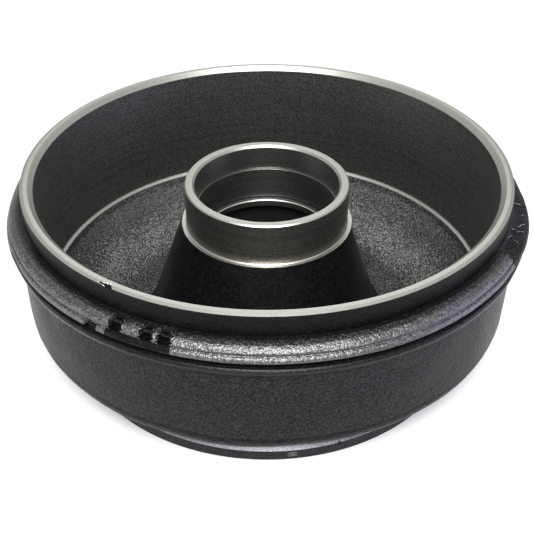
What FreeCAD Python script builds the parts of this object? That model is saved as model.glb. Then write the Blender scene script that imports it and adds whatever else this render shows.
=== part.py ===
# Brake drum with its hub boss, one iron casting, machined at the rim, the friction track and
# the bores. Millimetres. The origin is the centre of the flat wheel face that it stands on, +Z
# is the drum's axis and points out of its open end, and -Y is the side that faces the viewer.
import FreeCAD, Part
import os
import Sketcher

doc = FreeCAD.newDocument("BrakeDrum")

# Driving sizes. Lengths are in millimetres, angles in degrees round +Z from +X.
sizes = doc.addObject("Spreadsheet::Sheet", "sizes")
driving_sizes = [
    ("height", 138.0, "wheel face to rim"),
    ("friction_radius", 155.575, "track that the shoes run on"),
    ("closed_end", 49.6, "wheel face to the end of the track"),
    ("lead_in", 3.2, "chamfer at the mouth of the track"),
    ("track_end_width", 2.8, "turned land that closes the track"),
    ("track_end_drop", 2.0, "fall of that land"),
    ("step_width", 0.9, "draft of the cast step inside the land"),
    ("step_drop", 4.6, "fall of that step to the floor"),
    ("floor_slope_drop", 16.2, "fall of the sloping outer floor, up to the bench"),
    ("bench_inset", 4.025, "neck of the flange to the bench in the floor above it"),
    ("bench_width", 6.0, "narrow bench half way down"),
    ("bench_drop", 1.2, "fall of the bench"),
    ("well_slope_width", 14.0, "slope from the bench to the well"),
    ("web_thickness", 13.0, "wheel face to the floor of the well"),
    ("wall_foot", 12.8, "drum wall at its closed end"),
    ("wall_draft", 1.5, "growth of the wall's outside towards the rim"),
    ("lip_thickness", 8.1, "rim lip over the track"),
    ("bevel_width", 2.2, "turned bevel on the rim's outer edge"),
    ("bevel_drop", 1.2, "fall of that bevel"),
    ("band_top", 13.5, "rim to the top of the stiffening band"),
    ("band_reach", 9.9, "band beyond the lip at its shoulder"),
    ("band_draft", 1.2, "further reach of the band at its lower edge"),
    ("band_split", 5.0, "band top to the split between its two ridges"),
    ("split_width", 1.3, "mouth of that split"),
    ("split_depth", 1.1, "depth of that split"),
    ("band_height", 11.0, "band from its top to its lower edge"),
    ("band_round", 4.6, "round on the band's upper edge"),
    ("groove_width", 5.0, "channel between the band and the ring under it"),
    ("groove_depth", 5.0, "that channel's depth behind the band's lower edge"),
    ("ring_height", 3.3, "thin ring under the channel"),
    ("ring_proud", 1.2, "ring beyond the band's lower edge"),
    ("knee_drop", 9.0, "track end to the corner of the closed end"),
    ("knee_round", 17.0, "round of that corner"),
    ("flange_inset", 15.275, "track to the edge of the wheel flange"),
    ("flange_thickness", 8.7, "wheel flange at its edge"),
    ("neck_inset", 4.3, "flange edge to the neck above it"),
    ("neck_height", 7.8, "straight neck above the flange"),
    ("race_radius", 48.42, "seat of the inner bearing's outer race"),
    ("race_depth", 24.0, "length of that seat"),
    ("relief_width", 1.2, "relief groove at the end of the seat"),
    ("relief_depth", 0.8, "depth of that groove"),
    ("seal_step", 1.38, "seal bore beyond the race seat"),
    ("seal_depth", 18.8, "boss face to the step"),
    ("bore_chamfer", 1.4, "chamfer at the mouth of the seal bore"),
    ("boss_wall", 6.6, "boss around the seal bore"),
    ("boss_inset", 14.2, "rim to the boss face"),
    ("boss_band", 28.6, "turned band on the boss, face to ledge"),
    ("ledge_width", 2.1, "ledge under the turned band"),
    ("cone_share", 0.516, "part of the way from ledge to well that the boss's cone takes"),
    ("shoulder_width", 3.82, "shoulder that stops the inner race"),
    ("shoulder_thickness", 5.0, "that shoulder, along the axis"),
    ("cavity_depth", 5.4, "grease cavity behind the shoulders"),
    ("cavity_flare", 12.0, "growth of the cavity towards the wheel face"),
    ("outer_race_radius", 41.275, "seat of the outer bearing's outer race"),
    ("outer_race_depth", 22.0, "length of that seat from the wheel face"),
    ("outer_shoulder_width", 3.8, "shoulder that stops the outer race"),
    ("outer_shoulder_thickness", 5.0, "that shoulder, along the axis"),
    ("neck_round", 4.0, "rounds above and below the neck"),
    ("lip_round", 5.0, "fillet between the lip and the band"),
    ("small_round", 1.0, "rounds on the lower ridge and the thin ring"),
    ("floor_round", 7.0, "rounds at the boss's foot and the well"),
    ("step_round", 3.0, "rounds at the bench and under the step"),
    ("edge_chamfer", 0.8, "chamfers on the boss and the flange"),
    ("cut_clearance", 2.0, "how far a cut runs past the metal"),
    ("notch_depth", 6.6, "gap in the band, from its upper edge inwards"),
    ("lower_gap_depth", 4.0, "gap in the lower ridge, inwards"),
    ("first_gap_start", 240.2, "first gap in the band's upper ridge, angle"),
    ("first_gap_sweep", 2.5, "and its sweep"),
    ("second_gap_start", 247.3, "second gap, angle"),
    ("second_gap_sweep", 2.2, "and its sweep"),
    ("third_gap_start", 250.9, "third gap, angle"),
    ("third_gap_sweep", 2.4, "and its sweep"),
    ("side_gap_start", 330.0, "long gap on the right, angle"),
    ("side_gap_sweep", 46.0, "and its sweep"),
    ("lower_gap_start", 234.4, "gap in the band's lower ridge, angle"),
    ("lower_gap_sweep", 2.7, "and its sweep"),
    ("chip_start", 234.8, "chip in the rim's outer edge, angle"),
    ("chip_sweep", 3.9, "and its sweep"),
    ("chip_width", 2.9, "chip, from the lip inwards"),
    ("chip_drop", 2.6, "chip, down from the rim"),
]
# Sizes that follow from those.
following_sizes = [
    ("flange_radius", "friction_radius - flange_inset", "wheel flange"),
    ("well_radius", "flange_radius - neck_inset - bench_inset - bench_width - well_slope_width",
     "outer edge of the floor's lowest ring"),
    ("ledge_radius", "race_radius + seal_step + boss_wall + ledge_width", "ledge under the turned band"),
    ("foot_radius", "ledge_radius + (well_radius - ledge_radius) * cone_share", "foot of the boss's cone"),
]
rows = [(alias, str(number), note) for alias, number, note in driving_sizes]
rows += [(alias, "=" + formula, note) for alias, formula, note in following_sizes]
for row, (alias, content, note) in enumerate(rows, start=1):
    sizes.set(f"A{row}", note)
    sizes.set(f"B{row}", content)
    sizes.setAlias(f"B{row}", alias)
    doc.recompute()


def total(terms):
    """Adds up named sizes, such as 'height - band_top'."""
    sign, result = 1, 0.0
    for word in terms.split():
        if word in "+-":
            sign = 1 if word == "+" else -1
        else:
            result += sign * float(sizes.get(word))
    return result


def expression(terms):
    """The same sum as a formula bound to the sheet."""
    return " ".join(word if word in "+-" else "sizes." + word for word in terms.split())


def section_sketch(body, name, corners):
    """A closed outline in the plane of the axis: each corner is (radius, height), as sums of
    named sizes or None for zero, and is held there by two bound distances from the origin."""
    sketch = body.newObject("Sketcher::SketchObject", name)
    plane = next(item for item in body.Origin.OriginFeatures if item.Role == "XZ_Plane")
    sketch.AttachmentSupport = [(plane, "")]
    sketch.MapMode = "FlatFace"
    points = [FreeCAD.Vector(*[total(terms) if terms else 0.0 for terms in corner], 0)
              for corner in corners]
    for number, point in enumerate(points):
        sketch.addGeometry(Part.LineSegment(point, points[(number + 1) % len(points)]), False)
    for number in range(len(points)):
        sketch.addConstraint(Sketcher.Constraint("Coincident", number, 2, (number + 1) % len(points), 1))
    for number, corner in enumerate(corners):
        for kind, terms, axis in (("DistanceX", corner[0], -2), ("DistanceY", corner[1], -1)):
            if terms is None:
                sketch.addConstraint(Sketcher.Constraint("PointOnObject", number, 1, axis))
            else:
                held = sketch.addConstraint(
                    Sketcher.Constraint(kind, -1, 1, number, 1, total(terms)))
                sketch.setExpression(f"Constraints[{held}]", expression(terms))
    doc.recompute()
    return sketch


def turned(body, kind, name, sketch):
    """A full turn of the section about the drum's axis, added or cut away."""
    feature = body.newObject(kind, name)
    feature.Profile = sketch
    feature.ReferenceAxis = (sketch, ["V_Axis"])
    feature.Angle = 360
    body.Tip = feature
    doc.recompute()
    return feature


def sector_cut(body, name, corners, start, sweep):
    """Cuts the section away over one sector only."""
    sketch = section_sketch(body, name + "_section", corners)
    sketch.AttachmentOffset = FreeCAD.Placement(
        FreeCAD.Vector(), FreeCAD.Rotation(FreeCAD.Vector(0, 1, 0), total(start)))
    sketch.setExpression("AttachmentOffset.Rotation.Angle", expression(start))
    before = body.Shape.Volume
    feature = body.newObject("PartDesign::Groove", name)
    feature.Profile = sketch
    feature.ReferenceAxis = (sketch, ["V_Axis"])
    feature.setExpression("Angle", expression(sweep))
    body.Tip = feature
    doc.recompute()
    if not feature.Shape.Volume < before - 1.0:
        raise RuntimeError(name + " cuts nothing")
    return feature


def ring_edges(shape, places):
    """Names of the full-circle edges at the given (radius, height) places."""
    names = []
    for radius, level in places:
        at, up = total(radius), (total(level) if level else 0.0)
        found = [f"Edge{number}" for number, edge in enumerate(shape.Edges, start=1)
                 if isinstance(edge.Curve, Part.Circle)
                 and abs(edge.Curve.Radius - at) < 0.01 and abs(edge.Curve.Center.z - up) < 0.01]
        if not found:
            raise RuntimeError(f"no edge at radius {at} and height {up}")
        names += found
    return names


def dressed(body, kind, name, places, size, prop):
    """Rounds or chamfers ring edges by one size of the sheet."""
    base = body.Tip
    feature = body.newObject(kind, name)
    feature.Base = (base, ring_edges(base.Shape, places))
    feature.setExpression(prop, expression(size))
    body.Tip = feature
    doc.recompute()
    return feature


# Radii, as sums of the driving sizes.
wall_foot_radius = "friction_radius + wall_foot"
wall_top_radius = wall_foot_radius + " + wall_draft"
lip_radius = "friction_radius + lip_thickness"
upper_ridge_radius = lip_radius + " + band_reach"
lower_ridge_radius = upper_ridge_radius + " + band_draft"
ring_radius = lower_ridge_radius + " + ring_proud"
channel_radius = lower_ridge_radius + " - groove_depth"
neck_radius = "flange_radius - neck_inset"
land_radius = "friction_radius - track_end_width"
step_radius = land_radius + " - step_width"
bench_outer_radius = neck_radius + " - bench_inset"
bench_inner_radius = bench_outer_radius + " - bench_width"
seal_radius = "race_radius + seal_step"
boss_radius = seal_radius + " + boss_wall"
shoulder_radius = "race_radius - shoulder_width"
cavity_radius = shoulder_radius + " + cavity_depth"
cavity_foot_radius = cavity_radius + " + cavity_flare"
outer_shoulder_radius = "outer_race_radius - outer_shoulder_width"

# Heights above the wheel face, as sums of the driving sizes.
band_top_level = "height - band_top"
split_level = band_top_level + " - band_split"
lower_ridge_level = split_level + " - split_width"
band_foot_level = band_top_level + " - band_height"
ring_top_level = band_foot_level + " - groove_width"
ring_foot_level = ring_top_level + " - ring_height"
knee_level = "closed_end - knee_drop"
neck_level = "flange_thickness + neck_height"
land_level = "closed_end - track_end_drop"
step_level = land_level + " - step_drop"
bench_outer_level = step_level + " - floor_slope_drop"
bench_inner_level = bench_outer_level + " - bench_drop"
boss_level = "height - boss_inset"
ledge_level = boss_level + " - boss_band"
seal_end_level = boss_level + " - seal_depth"
race_end_level = seal_end_level + " - race_depth"
cavity_top_level = race_end_level + " - shoulder_thickness"
cavity_foot_level = "outer_race_depth + outer_shoulder_thickness"
over_rim_level = "height + cut_clearance"
over_boss_level = boss_level + " + cut_clearance"

drum = doc.addObject("PartDesign::Body", "brake_drum")
drum.Label = "brake_drum"

# The outside of the casting, still solid: flange, neck, rounded closed end, wall, thin ring,
# channel, stiffening band with its two ridges, and the rim lip.
outside = section_sketch(drum, "outside", [
    (None, None),
    ("flange_radius", None),
    ("flange_radius", "flange_thickness"),
    (neck_radius, "flange_thickness"),
    (neck_radius, neck_level),
    (wall_foot_radius, knee_level),
    (wall_top_radius, ring_foot_level),
    (ring_radius, ring_foot_level),
    (ring_radius, ring_top_level),
    (channel_radius, ring_top_level),
    (channel_radius, band_foot_level),
    (lower_ridge_radius, band_foot_level),
    (lower_ridge_radius, lower_ridge_level),
    (upper_ridge_radius + " - split_depth", lower_ridge_level),
    (upper_ridge_radius, split_level),
    (upper_ridge_radius, band_top_level),
    (lip_radius, band_top_level),
    (lip_radius, "height - bevel_drop"),
    (lip_radius + " - bevel_width", "height"),
    (None, "height"),
])
turned(drum, "PartDesign::Revolution", "casting", outside)

# The space for the shoes: friction track, the land that closes it, the stepped floor, and the
# boss left standing in the middle with its turned band and its cone.
shoe_space = section_sketch(drum, "shoe_space", [
    (None, boss_level),
    (boss_radius, boss_level),
    (boss_radius, ledge_level),
    ("ledge_radius", ledge_level),
    ("foot_radius", "web_thickness"),
    ("well_radius", "web_thickness"),
    (bench_inner_radius, bench_inner_level),
    (bench_outer_radius, bench_outer_level),
    (step_radius, step_level),
    (land_radius, land_level),
    ("friction_radius", "closed_end"),
    ("friction_radius", "height - lead_in"),
    ("friction_radius + lead_in", "height"),
    ("friction_radius + lead_in", over_rim_level),
    (None, over_rim_level),
])
turned(drum, "PartDesign::Groove", "shoe_space_cut", shoe_space)

# The bore through the hub: seal bore, inner race seat with its relief, shoulder, grease cavity,
# and the outer race seat that opens in the wheel face.
bore = section_sketch(drum, "bore", [
    (None, None),
    ("outer_race_radius", None),
    ("outer_race_radius", "outer_race_depth"),
    (outer_shoulder_radius, "outer_race_depth"),
    (outer_shoulder_radius, cavity_foot_level),
    (cavity_foot_radius, cavity_foot_level),
    (cavity_radius, cavity_top_level),
    (shoulder_radius, cavity_top_level),
    (shoulder_radius, race_end_level),
    ("race_radius + relief_depth", race_end_level),
    ("race_radius + relief_depth", race_end_level + " + relief_width"),
    ("race_radius", race_end_level + " + relief_width"),
    ("race_radius", seal_end_level),
    (seal_radius, seal_end_level),
    (seal_radius, over_boss_level),
    (None, over_boss_level),
])
turned(drum, "PartDesign::Groove", "bore_cut", bore)

# Cast rounds and turned chamfers.
dressed(drum, "PartDesign::Fillet", "knee", [(wall_foot_radius, knee_level)], "knee_round", "Radius")
dressed(drum, "PartDesign::Fillet", "neck_rounds",
        [(neck_radius, neck_level), (neck_radius, "flange_thickness")], "neck_round", "Radius")
dressed(drum, "PartDesign::Fillet", "band_round_off",
        [(upper_ridge_radius, band_top_level)], "band_round", "Radius")
dressed(drum, "PartDesign::Fillet", "lip_fillet", [(lip_radius, band_top_level)], "lip_round", "Radius")
dressed(drum, "PartDesign::Fillet", "ridge_rounds",
        [(lower_ridge_radius, lower_ridge_level), (lower_ridge_radius, band_foot_level),
         (ring_radius, ring_top_level), (ring_radius, ring_foot_level)], "small_round", "Radius")
dressed(drum, "PartDesign::Fillet", "floor_rounds",
        [("foot_radius", "web_thickness"), ("well_radius", "web_thickness"),
         (bench_inner_radius, bench_inner_level)], "floor_round", "Radius")
dressed(drum, "PartDesign::Fillet", "step_rounds",
        [(bench_outer_radius, bench_outer_level), (step_radius, step_level)], "step_round", "Radius")
dressed(drum, "PartDesign::Chamfer", "bore_mouths",
        [(seal_radius, boss_level), ("outer_race_radius", None)], "bore_chamfer", "Size")
dressed(drum, "PartDesign::Chamfer", "turned_edges",
        [(boss_radius, boss_level), ("flange_radius", "flange_thickness"),
         ("flange_radius", None)], "edge_chamfer", "Size")

# The band isn't whole: its upper ridge has three gaps on the left and a long one on the right,
# and its lower ridge has one. The rim's outer edge is chipped above them.
upper_gap = [
    (upper_ridge_radius + " - notch_depth", lower_ridge_level),
    (lower_ridge_radius + " + cut_clearance", lower_ridge_level),
    (lower_ridge_radius + " + cut_clearance", band_top_level + " + cut_clearance"),
    (upper_ridge_radius + " - notch_depth", band_top_level + " + cut_clearance"),
]
for place in ("first_gap", "second_gap", "third_gap", "side_gap"):
    sector_cut(drum, place, upper_gap, place + "_start", place + "_sweep")
sector_cut(drum, "lower_gap", [
    (lower_ridge_radius + " - lower_gap_depth", band_foot_level + " - cut_clearance"),
    (lower_ridge_radius + " + cut_clearance", band_foot_level + " - cut_clearance"),
    (lower_ridge_radius + " + cut_clearance", lower_ridge_level),
    (lower_ridge_radius + " - lower_gap_depth", lower_ridge_level),
], "lower_gap_start", "lower_gap_sweep")
sector_cut(drum, "rim_chip", [
    (lip_radius + " - chip_width", "height - chip_drop"),
    (lip_radius + " + cut_clearance", "height - chip_drop"),
    (lip_radius + " + cut_clearance", over_rim_level),
    (lip_radius + " - chip_width", over_rim_level),
], "chip_start", "chip_sweep")

failed = [item.Name for item in doc.Objects if {"Invalid", "Error"} & set(item.State)]
if failed:
    raise RuntimeError("failed objects: " + ", ".join(failed))
os.makedirs("parts", exist_ok=True)
if not drum.Shape.isValid() or len(drum.Shape.Solids) != 1:
    raise RuntimeError("the drum is not one valid solid")
drum.Shape.exportStep(os.path.join("parts", drum.Label + ".step"))
box = drum.Shape.optimalBoundingBox()
print(f"{drum.Label}: {drum.Shape.Volume / 1e6:.3f} litres, "
      f"{box.XLength:.1f} x {box.YLength:.1f} x {box.ZLength:.1f} mm")
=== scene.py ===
# Brake drum with its hub boss: a black sand casting, turned bright at the rim, the boss and the
# bores. Lengths are in millimetres until a mesh is made, angles in degrees round +Z from +X, and
# the camera looks from -Y.
import math
import bpy
import numpy as np
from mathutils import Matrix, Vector


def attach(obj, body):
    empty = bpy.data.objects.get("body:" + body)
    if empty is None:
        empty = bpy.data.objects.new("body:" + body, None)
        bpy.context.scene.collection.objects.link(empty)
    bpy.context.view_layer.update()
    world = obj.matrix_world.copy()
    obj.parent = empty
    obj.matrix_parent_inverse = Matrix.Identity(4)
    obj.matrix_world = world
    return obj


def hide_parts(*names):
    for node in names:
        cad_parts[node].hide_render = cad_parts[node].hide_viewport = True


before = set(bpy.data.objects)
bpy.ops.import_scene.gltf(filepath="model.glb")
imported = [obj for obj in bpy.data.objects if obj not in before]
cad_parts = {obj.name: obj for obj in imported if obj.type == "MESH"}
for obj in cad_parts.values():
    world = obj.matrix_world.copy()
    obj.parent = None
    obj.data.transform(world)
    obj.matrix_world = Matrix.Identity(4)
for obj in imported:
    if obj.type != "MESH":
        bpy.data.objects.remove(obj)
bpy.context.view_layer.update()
print("frame loaded")

scene = bpy.context.scene
scene.view_settings.view_transform = "Standard"
creaseAngle = 38  # edges sharper than this stay crisp in the shading
arcStep = 1.0  # longest step round a fillet


# A closed outline from corners (radius, height, round, step, finish): each corner is cut back by
# round / tan(half its angle) and an arc is put in, and the straight run after it is split into
# equal parts no longer than its step. Gives the points and the finish of the run after each.
def closedOutline(corners):
    places = np.array([corner[:2] for corner in corners], float)
    before, after = np.roll(places, 1, 0), np.roll(places, -1, 0)
    arcs = []
    for place, left, right, corner in zip(places, before, after, corners):
        size, step = corner[2], corner[3]
        if size == 0:
            arcs.append(place[None])
            continue
        toLeft = (left - place) / np.linalg.norm(left - place)
        toRight = (right - place) / np.linalg.norm(right - place)
        half = math.acos(np.clip(toLeft @ toRight, -1, 1)) / 2
        middle = (toLeft + toRight) / np.linalg.norm(toLeft + toRight)
        centre = place + middle * size / math.sin(half)
        first = place + toLeft * size / math.tan(half) - centre
        last = place + toRight * size / math.tan(half) - centre
        turn = math.pi - 2 * half
        count = max(3, math.ceil(size * turn / min(step, arcStep)))
        share = np.linspace(0, 1, count + 1)[:, None]
        sweep = np.sin((1 - share) * turn) * first + np.sin(share * turn) * last
        arcs.append(centre + sweep / math.sin(turn))
    points, finishes = [], []
    for arc, following, corner in zip(arcs, arcs[1:] + arcs[:1], corners):
        gap = following[0] - arc[-1]
        parts = max(1, math.ceil(np.linalg.norm(gap) / corner[3]))
        run = arc[-1] + gap * np.linspace(0, 1, parts + 1)[1:-1, None]
        points += [arc, run]
        finishes += [corner[4]] * (len(arc) + len(run))
    return np.concatenate(points), finishes


# Angles round the axis: an even ring, with closer lines inside each (from, to, step) window.
def ringAngles(count, windows=()):
    angles = np.arange(count) * 360.0 / count
    for low, high, step in windows:
        angles = angles[(angles < low) | (angles > high)]
    dense = [np.arange(low, high + step / 2, step) for low, high, step in windows]
    return np.unique(np.round(np.concatenate([angles, *dense]) % 360, 4))


slopeTable = np.random.default_rng(11).normal(size=(256, 3))
orderTable = np.random.default_rng(12).permutation(256)


# Gradient noise: a random slope stands at every corner of a lattice of the given size, and the
# eight corners' planes are blended by a smooth curve of the place inside the cell.
def unevenness(places, size, seed=0):
    cell = places / size + seed * 17.31
    base = np.floor(cell).astype(int)
    part = cell - base
    blend = part ** 3 * (part * (part * 6 - 15) + 10)
    height = np.zeros(cell.shape[:-1])
    for corner in np.ndindex(2, 2, 2):
        at = (base + corner) & 255
        pick = orderTable[(orderTable[(orderTable[at[..., 0]] + at[..., 1]) & 255] + at[..., 2]) & 255]
        weight = np.where(np.array(corner) == 1, blend, 1 - blend).prod(-1)
        height += weight * ((part - corner) * slopeTable[pick]).sum(-1)
    return height


# 0 below low, 1 above high, and a smooth curve between.
def rise(value, low, high):
    share = np.clip((value - low) / (high - low), 0, 1)
    return share * share * (3 - 2 * share)


# 1 between low and high, with soft edges of the given width outside them.
def between(value, low, high, edge):
    return rise(value, low - edge, low) * (1 - rise(value, high, high + edge))


# A ring-shaped skin: the closed outline is carried round the axis. At angle a the point is
# (r cos a, r sin a, z), where change(r, z, a) may first move r and z, and each point is then
# pushed out along the outline's normal by its height of grain. Each paint pair gives another
# finish to the faces that its test picks.
def ringSkin(name, corners, angles, grain=None, change=None, paint=()):
    outline, finishes = closedOutline(corners)
    ahead = np.roll(outline, -1, 0) - outline
    area = 0.5 * np.sum(outline[:, 0] * ahead[:, 1] - outline[:, 1] * ahead[:, 0])
    side = math.copysign(1, area)
    ahead /= np.linalg.norm(ahead, axis=1)[:, None]
    along = ahead + np.roll(ahead, 1, 0)
    along /= np.linalg.norm(along, axis=1)[:, None]
    normal = np.stack([along[:, 1], -along[:, 0]], 1) * side
    turn = np.radians(angles)[:, None]
    rows, columns = shape = (len(angles), len(outline))
    radius = np.broadcast_to(outline[:, 0], shape)
    height = np.broadcast_to(outline[:, 1], shape)
    if change:
        radius, height = change(radius, height, angles[:, None])
    if grain:
        places = np.stack([radius * np.cos(turn), radius * np.sin(turn), height], -1)
        push = grain(places, outline, angles[:, None])
        radius = radius + push * normal[:, 0]
        height = height + push * normal[:, 1]
    places = np.stack([radius * np.cos(turn), radius * np.sin(turn), height], -1) / 1000
    number = np.arange(rows * columns).reshape(shape)
    onward = np.roll(number, -1, 0)
    quads = np.stack([number, onward, np.roll(onward, -1, 1), np.roll(number, -1, 1)], -1)
    if side < 0:
        quads = quads[..., ::-1]
    kinds = list(dict.fromkeys(finishes + [finish for finish, test in paint]))
    index = np.broadcast_to([kinds.index(finish) for finish in finishes], shape).copy()
    for finish, test in paint:
        index[np.broadcast_to(test(outline, angles[:, None]), shape)] = kinds.index(finish)
    mesh = bpy.data.meshes.new(name)
    mesh.from_pydata(places.reshape(-1, 3), [], quads.reshape(-1, 4))
    for kind in kinds:
        mesh.materials.append(finishTable[kind])
    mesh.polygons.foreach_set("material_index", index.reshape(-1).astype(np.int32))
    mesh.shade_smooth()
    mesh.set_sharp_from_angle(angle=math.radians(creaseAngle))
    mesh.update()
    piece = bpy.data.objects.new(name, mesh)
    scene.collection.objects.link(piece)
    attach(piece, "root")
    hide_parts("brake_drum")
    print(f"{name}: {2 * rows * columns} triangles")


# sRGB hex to linear colour.
def linearColour(code):
    parts = [int(code[at:at + 2], 16) / 255 for at in (1, 3, 5)]
    linear = [part / 12.92 if part <= 0.04045 else ((part + 0.055) / 1.055) ** 2.4 for part in parts]
    return (*linear, 1)


# One node with its settings (a socket's name or number, or a property) and its links.
def addNode(tree, kind, settings=None, links=None):
    node = tree.nodes.new(kind)
    for name, value in (settings or {}).items():
        if isinstance(name, int) or name in node.inputs:
            node.inputs[name].default_value = value
        else:
            setattr(node, name, value)
    for name, source in (links or {}).items():
        tree.links.new(source, node.inputs[name])
    return node


# An empty material with its shader, and the place on the object that patterns are laid out by.
def newFinish(name):
    material = bpy.data.materials.new(name)
    material.use_nodes = True
    tree = material.node_tree
    tree.nodes.clear()
    shader = addNode(tree, "ShaderNodeBsdfPrincipled")
    addNode(tree, "ShaderNodeOutputMaterial", links={"Surface": shader.outputs[0]})
    where = addNode(tree, "ShaderNodeTexCoord").outputs["Object"]
    return material, tree, shader, where


# Noise of the given grain size in millimetres.
def noise(tree, size, detail, rough, where):
    settings = {"Scale": 1000 / size, "Detail": detail, "Roughness": rough}
    return addNode(tree, "ShaderNodeTexNoise", settings, {"Vector": where}).outputs["Fac"]


# Two patterns mixed by a share. The tint goes from the first colour to the second while the mix
# rises from one end of the span to the other.
def mixedTint(tree, shader, share, patterns, span, colours):
    settings = {"data_type": "FLOAT", 0: share}
    both = addNode(tree, "ShaderNodeMix", settings, {2: patterns[0], 3: patterns[1]}).outputs[0]
    tops = addNode(tree, "ShaderNodeMapRange", {"From Min": span[0], "From Max": span[1]}, {"Value": both})
    settings = {"data_type": "RGBA", 6: linearColour(colours[0]), 7: linearColour(colours[1])}
    tint = addNode(tree, "ShaderNodeMix", settings, {0: tops.outputs[0]})
    tree.links.new(tint.outputs[2], shader.inputs["Base Color"])
    return both


# Roughness: the gloss, more or less by the spread as the pattern goes.
def spreadGloss(tree, shader, gloss, spread, pattern):
    settings = {"To Min": gloss + spread[0], "To Max": gloss + spread[1]}
    matt = addNode(tree, "ShaderNodeMapRange", settings, {"Value": pattern})
    tree.links.new(matt.outputs[0], shader.inputs["Roughness"])


# A bump as deep as the given millimetres, on top of another one where there is one.
def bumped(tree, depth, pattern, under=None):
    bump = addNode(tree, "ShaderNodeBump", {"Strength": 1, "Distance": depth / 1000}, {"Height": pattern})
    if under:
        tree.links.new(under, bump.inputs["Normal"])
    return bump.outputs[0]


# sandShare: how much the finer of two grains counts in the tint; paintPatch: size of the places
# where the paint shines more or less, by glossSpread
castLook = {"sandShare": 0.4, "tops": (0.44, 0.62), "paintPatch": 14.0, "glossSpread": (-0.06, 0.08)}


# Grey iron, sand cast and dipped in black paint: the sand leaves pebbles 1 to 2 mm across, paler on
# their tops, partly from thinner paint and partly as a painted highlight where the pebbles catch the
# light, and the paint shines more in some places than in others.
def castFinish(name, colour, pale, gloss, pebble, depth, fine, fineDepth, shine, index=1.5):
    material, tree, shader, where = newFinish(name)
    shader.inputs["IOR"].default_value = index
    shader.inputs["Specular IOR Level"].default_value = shine
    coarse = noise(tree, pebble, 2, 0.5, where)
    sand = noise(tree, fine, 2, 0.6, where)
    patches = noise(tree, castLook["paintPatch"], 4, 0.6, where)
    mixedTint(tree, shader, castLook["sandShare"], (coarse, sand), castLook["tops"], (colour, pale))
    spreadGloss(tree, shader, gloss, castLook["glossSpread"], patches)
    pebbled = bumped(tree, depth, coarse)
    tree.links.new(bumped(tree, fineDepth, sand, pebbled), shader.inputs["Normal"])
    return material


# axisTurn: the quarter turn that lays the shine's long side across the tool's rings; grain: the
# size of the iron's open pores
turnedLook = {"axisTurn": 0.25, "grain": 0.9, "tops": (0.36, 0.64), "glossSpread": (-0.05, 0.08)}


# Bare grey iron, turned on a lathe: fine rings follow the tool round the axis, so the shine
# spreads across them, and small pores of the iron break them up. Rings 0.5 to 0.8 mm apart are
# coarser than the tool's real feed, because finer ones don't show.
def turnedFinish(name, colour, dull, gloss, rings, depth, grooved, pitted):
    material, tree, shader, where = newFinish(name)
    shader.inputs["Metallic"].default_value = 1
    shader.inputs["Anisotropic"].default_value = grooved
    shader.inputs["Anisotropic Rotation"].default_value = turnedLook["axisTurn"]
    around = addNode(tree, "ShaderNodeTangent", {"direction_type": "RADIAL", "axis": "Z"})
    tree.links.new(around.outputs[0], shader.inputs["Tangent"])
    split = addNode(tree, "ShaderNodeSeparateXYZ", links={0: where})
    flat = addNode(tree, "ShaderNodeCombineXYZ", links={0: split.outputs[0], 1: split.outputs[1]})
    radius = addNode(tree, "ShaderNodeVectorMath", {"operation": "LENGTH"}, {0: flat.outputs[0]})
    across = addNode(tree, "ShaderNodeCombineXYZ", links={0: radius.outputs["Value"], 1: split.outputs[2]})
    feed = noise(tree, rings, 3, 0.7, across.outputs[0])
    grain = noise(tree, turnedLook["grain"], 2, 0.7, where)
    both = mixedTint(tree, shader, pitted, (feed, grain), turnedLook["tops"], (dull, colour))
    spreadGloss(tree, shader, gloss, turnedLook["glossSpread"], grain)
    tree.links.new(bumped(tree, depth, both), shader.inputs["Normal"])
    return material


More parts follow.
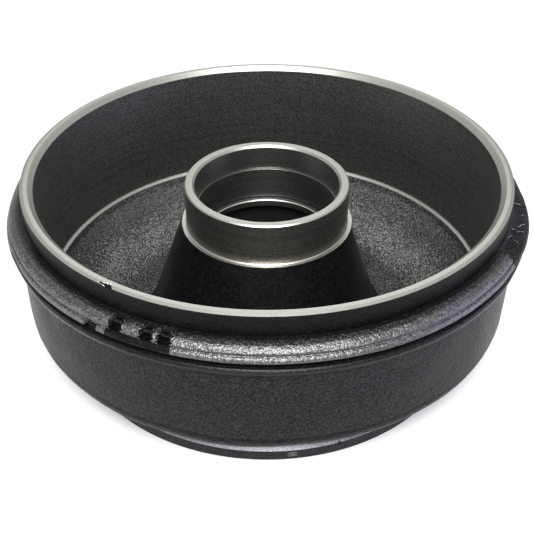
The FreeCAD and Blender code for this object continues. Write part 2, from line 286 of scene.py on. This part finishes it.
finishTable = {
    # name, colour, pale, gloss, pebble, depth, fine, fineDepth, shine
    # outer skin: dull black that shows its pebbles only in grazing light
    "cast": castFinish("blackedCastIron", "#050506", "#29292c", 0.34, 1.3, 1.10, 0.7, 0.28, 0.10),
    # knee: darker pebble tops and half the wall's shine, a painted shade where it looks down at the shadowed
    # table
    "knee": castFinish("blackedKneePaintedShade", "#050506", "#1a1a1c", 0.34, 1.3, 1.10, 0.7, 0.28, 0.05),
    "foot": castFinish("blackedFlange", "#0a0a0b", "#28282c", 0.34, 1.3, 0.70, 0.7, 0.24, 0.15),
    "ring": castFinish("blackedRing", "#0a0a0b", "#19191a", 0.34, 1.5, 0.20, 0.8, 0.08, 0.16),
    # the band, where handling has rubbed the paint: it glitters grain by grain
    # the bead's inner, upturned part: darker and less shiny than the ridge, as painted shade
    "crest": castFinish("crestPaintedShade", "#0a0a0b", "#2a2a2c", 0.30, 1.6, 0.90, 0.8, 0.28, 0.40),
    "ridge": castFinish("rubbedCastIron", "#0b0b0b", "#3e3e3e", 0.34, 1.7, 0.66, 0.9, 0.20, 0.78, 1.60),
    # inside: coarser and greyer, with the bench painted the palest, a painted pool of light
    "floor": castFinish("blackedCastFloor", "#090909", "#4e4e4e", 0.24, 1.4, 1.40, 0.7, 0.32, 0.6),
    "bench": castFinish("benchPaintedLight", "#0d0d0d", "#787876", 0.24, 1.4, 1.30, 0.7, 0.32, 0.8),
    # thick paint over smooth sand: almost plain black
    "cone": castFinish("blackedCastCone", "#040405", "#111112", 0.36, 2.0, 0.12, 1.0, 0.08, 0.25),
    "lip": castFinish("blackedLip", "#040405", "#0d0d0e", 0.32, 1.8, 0.30, 0.9, 0.14, 0.11),
    # in the dark or out of sight: plain and matt
    "inside": castFinish("blackedCavity", "#0a0a0b", "#101011", 0.6, 3.0, 0.2, 1.2, 0.06, 0.5),
    "hidden": castFinish("coreIron", "#101011", "#161617", 0.6, 3.0, 0.2, 1.2, 0.06, 0.5),
    # name, colour, dull, gloss, rings, depth, grooved, pitted
    # faced last: pale, soft grey with a streak of light round the ring
    "face": turnedFinish("turnedRimFace", "#cacac2", "#adada6", 0.40, 0.5, 0.012, 0.3, 0.45),
    # land: paler still; on the bores' narrow steps it stands as a painted highlight of their edges
    "land": turnedFinish("turnedLand", "#e2e1da", "#bcbab4", 0.38, 0.5, 0.012, 0.4, 0.45),
    # bored or turned, and darkened by oil: the pores show as fine dark specks
    "track": turnedFinish("turnedTrack", "#9d9e9a", "#40413f", 0.42, 0.8, 0.020, 0.0, 0.8),
    "bossBand": turnedFinish("turnedBossBand", "#96938b", "#55534e", 0.39, 0.7, 0.014, 0.35, 0.55),
    "bore": turnedFinish("boredSeats", "#8c8c89", "#565654", 0.37, 0.6, 0.010, 0.35, 0.5),
    # turned first and then rubbed: grey and uneven
    "edge": turnedFinish("rubbedFlangeEdge", "#a8a8ae", "#6a6a70", 0.50, 0.7, 0.030, 0.4, 0.8),
}
print("finishes made")


# The rim's turned face, with a chip broken out of its outer edge at the front left.
rim = {
    "top": 138.0, "track": 155.575, "leadIn": 3.2, "lip": 163.675, "bevelWidth": 2.2, "bevelDrop": 0.8,
    "chip": (234.3, 238.3), "chipDepth": 2.7, "chipDrop": 1.1, "chipWall": 0.5,
    # the sliver: where it ends, counted from the chip's start, and its width, for shape and finish
    "sliverEnd": (1.5, 2.1), "sliverWidth": 0.7, "sliverSkinEnd": 1.9, "sliverSkinWidth": 0.75,
    "lines": 900,
}


# The chip's inner edge: it starts shallow on the left, bites in, then runs back to the outer edge.
def chipEdge(angle):
    start, end = rim["chip"]
    share = np.clip((angle - start) / (end - start), 0, 1)
    bite = rim["chipDepth"] * (0.45 + 0.55 * share) * (1 - rise(share, 0.72, 1.0)) * rise(share, 0.0, 0.06)
    return rim["lip"] + 0.05 - bite * (1 + 0.12 * np.sin(angle * 31.0))


# Outside that edge the metal is broken away, but for a sliver on the left.
def chipRim(radius, height, angle):
    start, end = rim["chip"]
    inside = (angle > start) & (angle < end) & (radius > rim["lip"] - 4)
    bite = np.clip((radius - chipEdge(angle)) / rim["chipWall"], 0, 1) * inside
    low, high = rim["sliverEnd"]
    sliver = (1 - rise(angle, start + low, start + high)) * (radius > rim["lip"] - rim["sliverWidth"])
    return radius, height - bite * (1 - sliver) * rim["chipDrop"]


def chipSkin(outline, angle):
    start, end = rim["chip"]
    inside = (angle > start) & (angle < end) & (outline[:, 1] > rim["top"] - 1.5)
    sliver = (angle < start + rim["sliverSkinEnd"]) & (outline[:, 0] > rim["lip"] - rim["sliverSkinWidth"])
    return inside & (outline[:, 0] > chipEdge(angle) - 0.2) & ~sliver


chipWindow = (rim["chip"][0] - 1, rim["chip"][1] + 1, 0.1)
ringSkin("rimFace", [
    (rim["track"], rim["top"] - rim["leadIn"], 0, 0.8, "face"),
    (rim["track"] + rim["leadIn"], rim["top"], 0, 0.3, "face"),
    (rim["lip"] - rim["bevelWidth"], rim["top"], 2.4, 0.3, "face"),
    (rim["lip"], rim["top"] - rim["bevelDrop"], 0, 9, "hidden"),
    (162.2, 133.5, 0, 9, "hidden"),
    (157.0, 132.5, 0, 9, "hidden"),
], ringAngles(rim["lines"], [chipWindow]), change=chipRim, paint=[("lip", chipSkin)])


# Lip, stiffening band and thin ring.
band = {
    # the two ridges, as (least radius, lowest, highest) of their parts of the outline
    "upper": (164.2, 117.42, 123.55), "lower": (170.7, 113.0, 117.42),
    # the rubbed crest, whose bright finish is also a painted highlight laid where the light falls on the
    # bead: its inner edge, how much further in that lies on the left and on the right, the angles from
    # the front between which it moves there, its outer edge and its foot
    "crestLine": 170.6, "crestSides": (2.0, 1.0), "crestTurn": (12, 45), "crestEdge": 172, "crestFoot": 121.5,
    "upperGaps": [(239.4, 242.0), (246.1, 248.4), (249.7, 252.1)], "shortEnd": 0.16,
    "sideGap": (330.0, 376.0), "longEnd": 0.4,
    "lowerGap": (234.1, 236.7), "lowerEnd": 0.2, "lowerFloor": 170.9, "lowerDepth": 0.92,
    # where the lower ridge beside the short gaps is painted black, a painted shade
    "lowerBlack": (238.6, 252.3),
    # what is left of the upper ridge in a short gap: recess, grey rib and slot, the recess and slot painted
    # black as painted shade
    "shortGap": [(164.4, 123.5), (165.6, 122.3), (166.4, 121.5), (168.6, 121.4), (169.9, 120.5),
                 (169.4, 119.4), (167.6, 118.8), (167.0, 118.1), (170.5, 117.5), (173.2, 117.4)],
    "rib": (0.30, 0.58),
    # the long gap is ground flat
    "longGap": [(164.3, 123.5), (165.2, 121.2), (166.4, 119.2), (168.6, 118.6), (171.0, 118.2),
                (172.4, 117.7), (173.2, 117.4)],
    # burrs left by the grinder, as lines of (angle, share across the ledge)
    "burrs": [[(352.0, 0.30), (352.4, 0.55), (352.3, 0.95)],
              [(347.8, 0.72), (348.2, 0.86)],
              [(343.0, 0.60), (344.2, 0.78), (344.8, 0.95)],
              [(340.4, 0.25), (341.6, 0.40), (341.0, 0.60), (341.8, 0.95)],
              [(336.6, 0.20), (338.2, 0.32), (337.2, 0.60), (336.8, 0.80)]],
    "burrRadius": 172.0, "burrHeight": 0.8, "burrWidth": 0.6, "burrPale": 0.6,
    # where the casting is not round: angle, width, how far in or out; for the ridges and the ring
    "ridgeOut": [(178, 14, -2.2), (2, 10, -0.7), (345, 9, 0.8)],
    "ringOut": [(210, 9, -1.2), (334, 9, -0.6)], "ringTop": 109.0, "outFrom": (165.0, 171.0),
    # the fin on the ring's lower edge, on the left also a painted highlight: its angles, and its least radius
    # and heights
    "flashAndSheen": (196.0, 238.0), "flashAndSheenPlace": (174.6, 105.1, 106.3),
    "pebbleHeight": 0.13, "pebbleSize": 3.0, "waveHeight": 0.35, "waveSize": 22.0,
    # the share of this grain that is left, and where it rises to all of it
    "lipCalm": (0.25, 163.9, 166.5), "ringCalm": (0.15, 109.5, 113.0),
    # the heights where it ends, and how far before them it starts to fade; further in than
    # grainFrom the piece is hidden
    "grainTop": (136.6, 2.0), "grainFoot": (105.3, 0.6), "grainFrom": 163.5,
    "lines": 560,
    "windows": [(233.2, 238.0, 0.16), (238.4, 243.0, 0.14), (245.2, 253.0, 0.14), (328.6, 331.4, 0.2),
                (335.5, 353.5, 0.14)],
}


# Angles counted from 200 to 560, so that the long gap has no seam in it.
def fromLeft(angle):
    return (angle - 200.0) % 360 + 200.0


# The points outside a radius and between two heights.
def within(outline, least, low, high):
    return (outline[:, 0] > least) & (outline[:, 1] > low) & (outline[:, 1] < high)


# How far along the upper ridge's outline each of its points lies, from 0 to 1, and which they are.
def ridgeShare(outline):
    ridge = within(outline, *band["upper"])
    pace = np.cumsum(np.hypot(*np.diff(outline, axis=0, prepend=outline[:1]).T) * ridge)
    return (pace - pace[ridge].min()) / (pace[ridge].max() - pace[ridge].min()), ridge


# 1 inside a gap's sector and 0 outside, with ragged ends.
def inGap(angle, share, low, high, soft):
    ragged = 0.22 * np.sin(share * 21 + 1.3) + 0.16 * np.sin(share * 47)
    return between(fromLeft(angle) + ragged, low, high, soft)


# How far each point is from a burr's line, in millimetres round the band.
def burrAway(burr, angle, share):
    turns, shares = np.array(burr).T
    away = np.abs(fromLeft(angle) - np.interp(share, shares, turns)) * math.pi / 180 * band["burrRadius"]
    return away, (share > shares[0]) & (share < shares[-1])


# In a gap the ridge's outline gives way to the gap's own, burrs stand on the long gap's ledge, and
# bell curves of the angle press the casting in or out.
def bandChange(radius, height, angle):
    outline = np.stack([radius[0], height[0]], 1)
    share, ridge = ridgeShare(outline)
    openings = [(low, high, band["shortGap"], band["shortEnd"]) for low, high in band["upperGaps"]]
    openings += [(*band["sideGap"], band["longGap"], band["longEnd"])]
    for low, high, line, soft in openings:
        line = np.array(line)
        pace = np.concatenate([[0], np.cumsum(np.hypot(*np.diff(line, axis=0).T))])
        inside = inGap(angle, share, low, high, soft) * ridge
        radius = radius + (np.interp(share * pace[-1], pace, line[:, 0]) - radius) * inside
        height = height + (np.interp(share * pace[-1], pace, line[:, 1]) - height) * inside
    for burr in band["burrs"]:
        away, along = burrAway(burr, angle, share)
        height = height + band["burrHeight"] * np.exp(-(away / band["burrWidth"]) ** 2) * ridge * along
    ridges, ring = outline[:, 1] > band["lower"][1], outline[:, 1] < band["ringTop"]
    for places, part in ((band["ridgeOut"], ridges), (band["ringOut"], ring)):
        for middle, width, out in places:
            away = ((angle - middle + 180) % 360 - 180) / width
            radius = radius + out * np.exp(-away ** 2) * part * rise(outline[:, 0], *band["outFrom"])
    inside = inGap(angle, 1 - share, *band["lowerGap"], band["lowerEnd"]) * within(outline, *band["lower"])
    radius = radius + band["lowerDepth"] * (band["lowerFloor"] - radius) * inside
    return radius, height


# Pebbles and waves, less on the lip under the rim and on the ring, and none at the piece's ends.
def bandGrain(places, outline, angle):
    r0, z0 = outline[:, 0], outline[:, 1]
    calm = 1.0
    for place, (least, low, high) in ((r0, band["lipCalm"]), (z0, band["ringCalm"])):
        calm = calm * (least + (1 - least) * rise(place, low, high))
    (top, topFade), (foot, footFade) = band["grainTop"], band["grainFoot"]
    ends = rise(top - z0, 0, topFade) * rise(z0 - foot, 0, footFade) * (r0 > band["grainFrom"])
    pebbles = band["pebbleHeight"] * unevenness(places, band["pebbleSize"], 1)
    waves = band["waveHeight"] * unevenness(places, band["waveSize"], 2)
    return (pebbles + waves) * calm * ends


# The upper ridge, the rib that is left of it in the short gaps, those gaps and the long one.
def gapParts(outline, angle):
    share, ridge = ridgeShare(outline)
    rib = ridge & (share > band["rib"][0]) & (share < band["rib"][1])
    short = sum(inGap(angle, share, *gap, band["shortEnd"]) for gap in band["upperGaps"]) > 0.4
    ground = inGap(angle, share, *band["sideGap"], band["longEnd"]) > 0.5
    return ridge, rib, short, ground


# In a short gap all but the rib is painted black, a painted shade of the recess, and so is the lower
# ridge beside it, as its painted shade; the long gap is dull.
def gapShadeSkin(outline, angle):
    ridge, rib, short, _ = gapParts(outline, angle)
    beside = (angle > band["lowerBlack"][0]) & (angle < band["lowerBlack"][1])
    return (short & ridge & ~rib) | (beside & within(outline, *band["lower"]))


def dullSkin(outline, angle):
    ridge, rib, short, ground = gapParts(outline, angle)
    return (short & rib) | (ground & (ridge | within(outline, *band["lower"])))


# The upper ridge takes the bright rubbed finish further in at the sides than at the front, up to a
# wandering line: rubbed paint, laid out to follow where the highlight falls, so partly a painted highlight.
def rubbedAndHighlitSkin(outline, angle):
    left, right = band["crestSides"]
    line = band["crestLine"] - left * rise(270 - angle, *band["crestTurn"])
    line = line - right * rise(angle - 270, *band["crestTurn"])
    line = line + 0.25 * np.sin(angle * 1.9) + 0.2 * np.sin(angle * 5.3)
    return within(outline, line, band["crestFoot"], band["upper"][2]) & (outline[:, 0] < band["crestEdge"])


# The fin along the ring's lower edge, where the two halves of the mould met, given the shinier rubbed
# finish on the left as a painted highlight of that edge.
def flashAndSheenSkin(outline, angle):
    broken = np.sin(angle * 4.7) + np.sin(angle * 11.3) > -0.9
    low, high = band["flashAndSheen"]
    return (angle > low) & (angle < high) & broken & within(outline, *band["flashAndSheenPlace"])


def burrSkin(outline, angle):
    share, ridge = ridgeShare(outline)
    picked = np.zeros(np.broadcast(angle, share).shape, bool)
    for burr in band["burrs"]:
        away, along = burrAway(burr, angle, share)
        picked |= (away < band["burrPale"] * band["burrWidth"]) & ridge & along
    return picked


ringSkin("lipAndBand", [
    (rim["lip"], 136.8, 0, 1.1, "lip"),
    (rim["lip"], 123.5, 0, 0.8, "ring"),
    # crest: dimmer finish as painted shade; rubbedAndHighlitSkin lays the ridge finish over its outer part
    (168.78, 123.5, 8.9, 0.5, "crest"),
    (172.52, 121.68, 8.9, 0.4, "ridge"),
    (174.4, 119.27, 0.8, 0.4, "ridge"),
    (173.2, 117.4, 0.4, 0.4, "ridge"),
    (175.9, 116.4, 3.2, 0.4, "ridge"),
    (175.8, 113.4, 0.8, 0.6, "ring"),
    (169.775, 113.4, 0.8, 1.0, "ring"),
    (169.775, 109.6, 1.0, 0.8, "ring"),
    (174.7, 109.1, 1.0, 0.8, "ring"),
    (175.9, 107.6, 0.9, 0.5, "ring"),
    (175.4, 105.2, 0, 1.2, "ring"),
    (169.9, 105.2, 0, 12, "hidden"),
    (165.0, 106.5, 0, 12, "hidden"),
    (161.5, 112.0, 0, 12, "hidden"),
    (161.5, 134.0, 0, 12, "hidden"),
], ringAngles(band["lines"], band["windows"]), bandGrain, bandChange,
    [("ridge", rubbedAndHighlitSkin), ("lip", gapShadeSkin), ("cast", dullSkin), ("land", burrSkin), ("ridge", flashAndSheenSkin)])


# Wall, rounded closed end and wheel flange.
wall = {
    "top": 105.2, "pebbleHeight": 0.14, "pebbleSize": 3.0, "waveHeight": 0.5, "waveSize": 30.0,
    # where the grain starts above the turned flange
    "grainFoot": (7.9, 11.0),
    # angle, height, size, depth
    "pits": [(275.1, 97.6, 1.3, 0.9), (276.0, 98.6, 1.0, 0.8), (274.5, 96.9, 0.8, 0.6),
             (276.8, 99.4, 0.8, 0.6)],
    "nick": (289.4, 8.2, 1.0, 1.2),
    # a small raised and rubbed place on the flange: its angles and heights
    "patch": (275.4, 277.8, 3.5, 7.2), "patchProud": 0.25,
    # the least radius of the grain, of the pits and of that place: further in, the piece is hidden
    "grainFrom": 135, "pitsFrom": 137, "patchFrom": 140,
    "lines": 680, "windows": [(273.5, 279.0, 0.12), (288.0, 289.8, 0.2)],
}


# Pebbles and waves on the raw wall, pits and a nick pressed in, and the flange's patch raised.
def wallGrain(places, outline, angle):
    r0, z0 = outline[:, 0], outline[:, 1]
    cast = rise(wall["top"] - z0, 0, 1.5) * rise(z0, *wall["grainFoot"]) * (r0 > wall["grainFrom"])
    pebbles = wall["pebbleHeight"] * unevenness(places, wall["pebbleSize"], 3)
    waves = wall["waveHeight"] * unevenness(places, wall["waveSize"], 4)
    push = (pebbles + waves) * cast
    for turn, level, size, depth in wall["pits"] + [wall["nick"]]:
        away = np.hypot((angle - turn) * math.pi / 180 * r0, z0 - level) / size
        push = push - depth * np.exp(-away ** 4) * (r0 > wall["pitsFrom"])
    start, end, low, high = wall["patch"]
    patch = between(angle, start, end, 0.1) * between(z0, low, high, 0.3) * (r0 > wall["patchFrom"])
    return push + wall["patchProud"] * patch


def patchSkin(outline, angle):
    start, end, low, high = wall["patch"]
    worn = np.sin(angle * 17) * np.sin(outline[:, 1] * 5 + angle * 3) < 0.6
    return (angle > start) & (angle < end) & within(outline, wall["patchFrom"], low, high) & worn


ringSkin("wallAndFlange", [
    (169.9, wall["top"], 0, 1.5, "cast"),
    # the knee round takes the knee finish, darker as painted shade
    (168.4, 40.6, 17.0, 1.5, "knee"),
    (136.0, 16.5, 2.0, 1.0, "knee"),
    (135.9, 13.0, 1.4, 0.6, "edge"),
    (140.3, 7.9, 0.5, 0.6, "foot"),
    (140.3, 0.8, 0, 0.8, "foot"),
    (139.5, 0.0, 0, 6, "bossBand"),
    (70.0, 0.0, 0, 20, "hidden"),
    (70.0, 6.0, 0, 20, "hidden"),
    (126.0, 9.0, 0, 20, "hidden"),
    (131.0, 18.0, 0, 20, "hidden"),
    (150.0, 33.5, 0, 20, "hidden"),
    (161.5, 48.0, 0, 20, "hidden"),
    (162.0, 100.0, 0, 20, "hidden"),
], ringAngles(wall["lines"], wall["windows"]), wallGrain, paint=[("ridge", patchSkin)])


# Friction track, down to the pale land where the tool stopped.
track = {"end": 49.6, "foot": (151.875, 43.0), "lines": 720}
ringSkin("frictionTrack", [
    (rim["track"], rim["top"] - rim["leadIn"], 0, 3.0, "track"),
    (rim["track"], track["end"], 0, 0.7, "track"),
    (155.0, 49.19, 0, 0.7, "land"),
    (153.2, 47.9, 0, 0.7, "floor"),
    (152.775, 47.6, 0, 0.7, "floor"),
    (*track["foot"], 0, 9, "hidden"),
    (156.0, 42.0, 0, 9, "hidden"),
    (159.0, 48.0, 0, 20, "hidden"),
    (159.0, 134.0, 0, 20, "hidden"),
], ringAngles(track["lines"]))


# Floor and cone.
floorCast = {
    "pebbleHeight": 0.14, "pebbleSize": 3.2, "waveHeight": 1.0, "waveSize": 20.0,
    "well": 13.0, "coneFoot": 86.1, "coneTop": (58.8, 93.0),
    # the cone: the heights between which it rises from the floor, its greatest radius, and what
    # share of the pebbles and of the waves it lacks
    "coneRise": (18.0, 30.0), "coneWidest": 88, "coneCalm": (0.75, 0.6),
    # how far it stands to the left: in full up to the first radius and not at all from the second
    # on, and less towards its top
    "coneShift": 1.7, "shiftReach": (88, 104), "shiftTop": (60, 93), "shiftLess": 0.4,
    # a lump at the cone's foot: from, to, its top, how proud; over how much its ends and top fade
    "lump": (195.0, 226.0, 48.0, 4.6), "lumpEnds": 5, "lumpTop": 14,
    # the bench's painted pool of light: its outer edge, its width and how far single grains stray
    "benchEdge": 134.5, "benchWidth": 20.0, "benchStray": 4.5,
    "lines": 660,
}


# Pebbles and waves, less on the cone, and the lump, which is a soft step of angle and height.
def floorGrain(places, outline, angle):
    r0, z0 = outline[:, 0], outline[:, 1]
    cone = rise(z0, *floorCast["coneRise"]) * (r0 < floorCast["coneWidest"])
    shown = rise(151.9 - r0, 0, 2.0) * rise(floorCast["coneTop"][1] - z0, 0, 2.0)
    pebbles = floorCast["pebbleHeight"] * unevenness(places, floorCast["pebbleSize"], 5)
    waves = floorCast["waveHeight"] * unevenness(places, floorCast["waveSize"], 6)
    fewer, flatter = floorCast["coneCalm"]
    push = (pebbles * (1 - fewer * cone) + waves * (1 - flatter * cone)) * shown
    start, end, top, proud = floorCast["lump"]
    lump = between(angle + 6 * np.sin(z0 / 4.0), start, end, floorCast["lumpEnds"]) * cone
    lump = lump * (1 - rise(z0, top - floorCast["lumpTop"], top))
    rough = 1 + 0.5 * unevenness(places, 5.0, 7)
    return push + lump * proud * rough


# The core had shifted in the mould: the cone stands a little to the left of the turned boss.
def coneChange(radius, height, angle):
    less = floorCast["shiftLess"] * rise(height, *floorCast["shiftTop"])
    share = (1 - rise(radius, *floorCast["shiftReach"])) * (1 - less)
    return radius - floorCast["coneShift"] * np.cos(np.radians(angle)) * share, height


# The bench is painted paler, grain by grain, from out on the slope to the well: a painted pool of light.
def benchLightSkin(outline, angle):
    stray = np.random.default_rng(8).normal(0, floorCast["benchStray"], (len(angle), len(outline)))
    wander = 1.6 * np.sin(np.radians(angle) * 7) + 1.2 * np.sin(np.radians(angle) * 19 + 1)
    edge = floorCast["benchEdge"] + wander + stray
    shown = outline[:, 1] > floorCast["well"] - 0.5
    return (outline[:, 0] < edge) & (outline[:, 0] > edge - floorCast["benchWidth"]) & shown


ringSkin("floorAndCone", [
    (*track["foot"], 0, 1.2, "floor"),
    (131.975, 26.8, 3.0, 1.2, "floor"),
    (125.975, 25.6, 7.0, 1.2, "floor"),
    (111.975, floorCast["well"], 7.0, 1.2, "floor"),
    (floorCast["coneFoot"], floorCast["well"], 3.0, 1.2, "cone"),
    (*floorCast["coneTop"], 0, 9, "hidden"),
    (57.4, 92.0, 0, 40, "hidden"),
    (62.0, 76.0, 0, 40, "hidden"),
    (76.0, 27.0, 0, 40, "hidden"),
    (84.0, 8.0, 0, 40, "hidden"),
    (113.0, 8.0, 0, 40, "hidden"),
    (126.0, 20.0, 0, 40, "hidden"),
    (133.0, 22.0, 0, 40, "hidden"),
    (150.0, 36.0, 0, 40, "hidden"),
], ringAngles(floorCast["lines"]), floorGrain, coneChange, [("bench", benchLightSkin)])


# Boss and bores: the turned band with its ledge, the seal bore, the inner race seat with its
# relief and shoulder, the grease cavity and the outer race seat.
boss = {
    "ledge": (59.3, 93.6), "ledgeRagged": 0.25, "band": 56.4, "top": 123.8, "edge": 0.8, "leadIn": 1.4,
    "sealSeat": 49.8, "sealEnd": 105.0, "raceSeat": 48.42, "raceEnd": 82.2, "relief": 49.22, "shoulder": 81.0,
    "throat": 44.6, "outerThroat": 37.475, "outerSeat": 41.275, "outerEnd": 22.0, "lines": 480,
}


# The turned band runs out in the rough cone, so its ledge is ragged, most on the right.
def ledgeChange(radius, height, angle):
    edge = (np.abs(radius - boss["ledge"][0]) < 0.2) & (np.abs(height - boss["ledge"][1]) < 0.2)
    ragged = 0.5 + 0.5 * np.sin(angle * 0.55 + 2 * np.sin(angle * 0.13)) * np.sin(angle * 0.21)
    return radius + edge * boss["ledgeRagged"] * ragged, height


ringSkin("bossAndBores", [
    (*boss["ledge"], 0, 0.6, "land"),
    (57.0, 93.6, 0, 0.6, "land"),
    (boss["band"], 94.1, 0, 1.5, "bossBand"),
    (boss["band"], boss["top"] - boss["edge"], 0, 0.6, "face"),
    (boss["band"] - boss["edge"], boss["top"], 0, 0.7, "face"),
    (boss["sealSeat"] + boss["leadIn"], boss["top"], 0, 0.6, "face"),
    (boss["sealSeat"], boss["top"] - boss["leadIn"], 0, 1.5, "bore"),
    (boss["sealSeat"], boss["sealEnd"], 0, 0.7, "bore"),
    # the narrow step into the race seat takes the pale land finish, a painted highlight of its edge
    (49.15, boss["sealEnd"], 0, 0.7, "land"),
    (boss["raceSeat"], boss["sealEnd"], 0, 1.5, "bore"),
    (boss["raceSeat"], boss["raceEnd"], 0, 0.6, "bore"),
    # the relief takes the black cavity finish as painted shade; the shoulder's outer and inner parts take the
    # pale land finish as painted highlights of its edges
    (boss["relief"], boss["raceEnd"], 0, 0.8, "inside"),
    (boss["relief"], boss["shoulder"], 0, 0.8, "bore"),
    (47.9, boss["shoulder"], 0, 0.8, "land"),
    (47.2, boss["shoulder"], 0, 0.8, "bore"),
    (45.5, boss["shoulder"], 0, 0.8, "land"),
    (boss["throat"], 80.3, 0, 1.5, "bore"),
    (boss["throat"], 76.0, 0, 2.0, "inside"),
    (50.0, 76.0, 0, 4.0, "inside"),
    (62.0, 27.0, 0, 4.0, "inside"),
    (boss["outerThroat"], 27.0, 0, 2.0, "bore"),
    (boss["outerThroat"], boss["outerEnd"], 0, 2.0, "bore"),
    (boss["outerSeat"], boss["outerEnd"], 0, 2.0, "bore"),
    (boss["outerSeat"], boss["leadIn"], 0, 1.0, "bore"),
    (boss["outerSeat"] + boss["leadIn"], 0.0, 0, 6.0, "bossBand"),
    (70.0, 0.0, 0, 20, "hidden"),
    (70.0, 4.0, 0, 20, "hidden"),
    (71.0, 27.0, 0, 40, "hidden"),
    (57.0, 76.0, 0, 40, "hidden"),
    (53.0, 92.0, 0, 40, "hidden"),
    (59.1, 92.9, 0, 0.6, "bossBand"),
], ringAngles(boss["lines"]), change=ledgeChange)
print("drum made")


# Turns a lamp or the camera at a target; places in metres from here on.
def aim(item, place, target):
    item.location = place
    item.rotation_euler = (Vector(target) - Vector(place)).to_track_quat("-Z", "Y").to_euler()


# A softbox at an azimuth and elevation round the drum. Its power is radiance times pi times area.
def softBox(name, azimuth, elevation, distance, size, radiance, colour):
    light = bpy.data.lights.new(name, "AREA")
    light.shape = "RECTANGLE"
    light.size, light.size_y = size
    light.energy = radiance * math.pi * size[0] * size[1]
    light.color = linearColour(colour)[:3]
    lamp = bpy.data.objects.new(name, light)
    scene.collection.objects.link(lamp)
    turn, lift = math.radians(azimuth), math.radians(elevation)
    out = distance * math.cos(lift)
    aim(lamp, (out * math.cos(turn), out * math.sin(turn), distance * math.sin(lift)), studio["middle"])


studio = {
    "floorColour": "#d8d8d8", "floorGloss": 0.9, "floorHalf": 4.0, "world": 0.5, "middle": (0, 0, 0.08),
    # name, azimuth, elevation, distance, (width, height), radiance, colour
    "boxes": [
        ("keyBox", 270, 50, 3.0, (1.5, 0.8), 45.0, "#ffffff"),
        ("rightBox", 350, 11, 1.6, (1.0, 0.4), 6.8, "#c4ccff"),
        ("leftBox", 190, 11, 1.6, (1.0, 0.4), 4.0, "#ffffff"),
        ("backBox", 90, 50, 2.4, (2.4, 1.0), 1.5, "#ffffff"),
    ],
}
half = studio["floorHalf"]
floorCorners = [(-half, -half, 0), (half, -half, 0), (half, half, 0), (-half, half, 0)]
floorMesh = bpy.data.meshes.new("paleFloor")
floorMesh.from_pydata(floorCorners, [], [(0, 1, 2, 3)])
paleFloor = bpy.data.objects.new("paleFloor", floorMesh)
scene.collection.objects.link(paleFloor)
# matt backdrop paper: a pale grey that spreads the light from below
floorMaterial, _, floorShader, _ = newFinish("palePaper")
floorShader.inputs["Base Color"].default_value = linearColour(studio["floorColour"])
floorShader.inputs["Roughness"].default_value = studio["floorGloss"]
floorMesh.materials.append(floorMaterial)

world = bpy.data.worlds.new("softRoom")
world.use_nodes = True
world.node_tree.nodes["Background"].inputs[0].default_value = (1, 1, 1, 1)
world.node_tree.nodes["Background"].inputs[1].default_value = studio["world"]
scene.world = world
for box in studio["boxes"]:
    softBox(*box)

# focal length in the photo's pixels, of which it is 533 wide
view = {
    "elevation": 35.98, "distance": 0.6832, "target": (-0.0003, 0.0, 0.0516), "focal": 937.1, "width": 533,
    "sensor": 36, "roll": -0.06,
}
tilt = math.radians(view["elevation"])
camera = bpy.data.cameras.new("photoCamera")
camera.sensor_width = view["sensor"]
camera.lens = view["sensor"] * view["focal"] / view["width"]
camera.clip_start = 0.01
cameraObject = bpy.data.objects.new("photoCamera", camera)
scene.collection.objects.link(cameraObject)
targetX, targetY, targetZ = view["target"]
back, up = view["distance"] * math.cos(tilt), view["distance"] * math.sin(tilt)
aim(cameraObject, (targetX, targetY - back, targetZ + up), view["target"])
cameraObject.rotation_euler.rotate_axis("Z", math.radians(view["roll"]))
scene.camera = cameraObject
print("studio made")
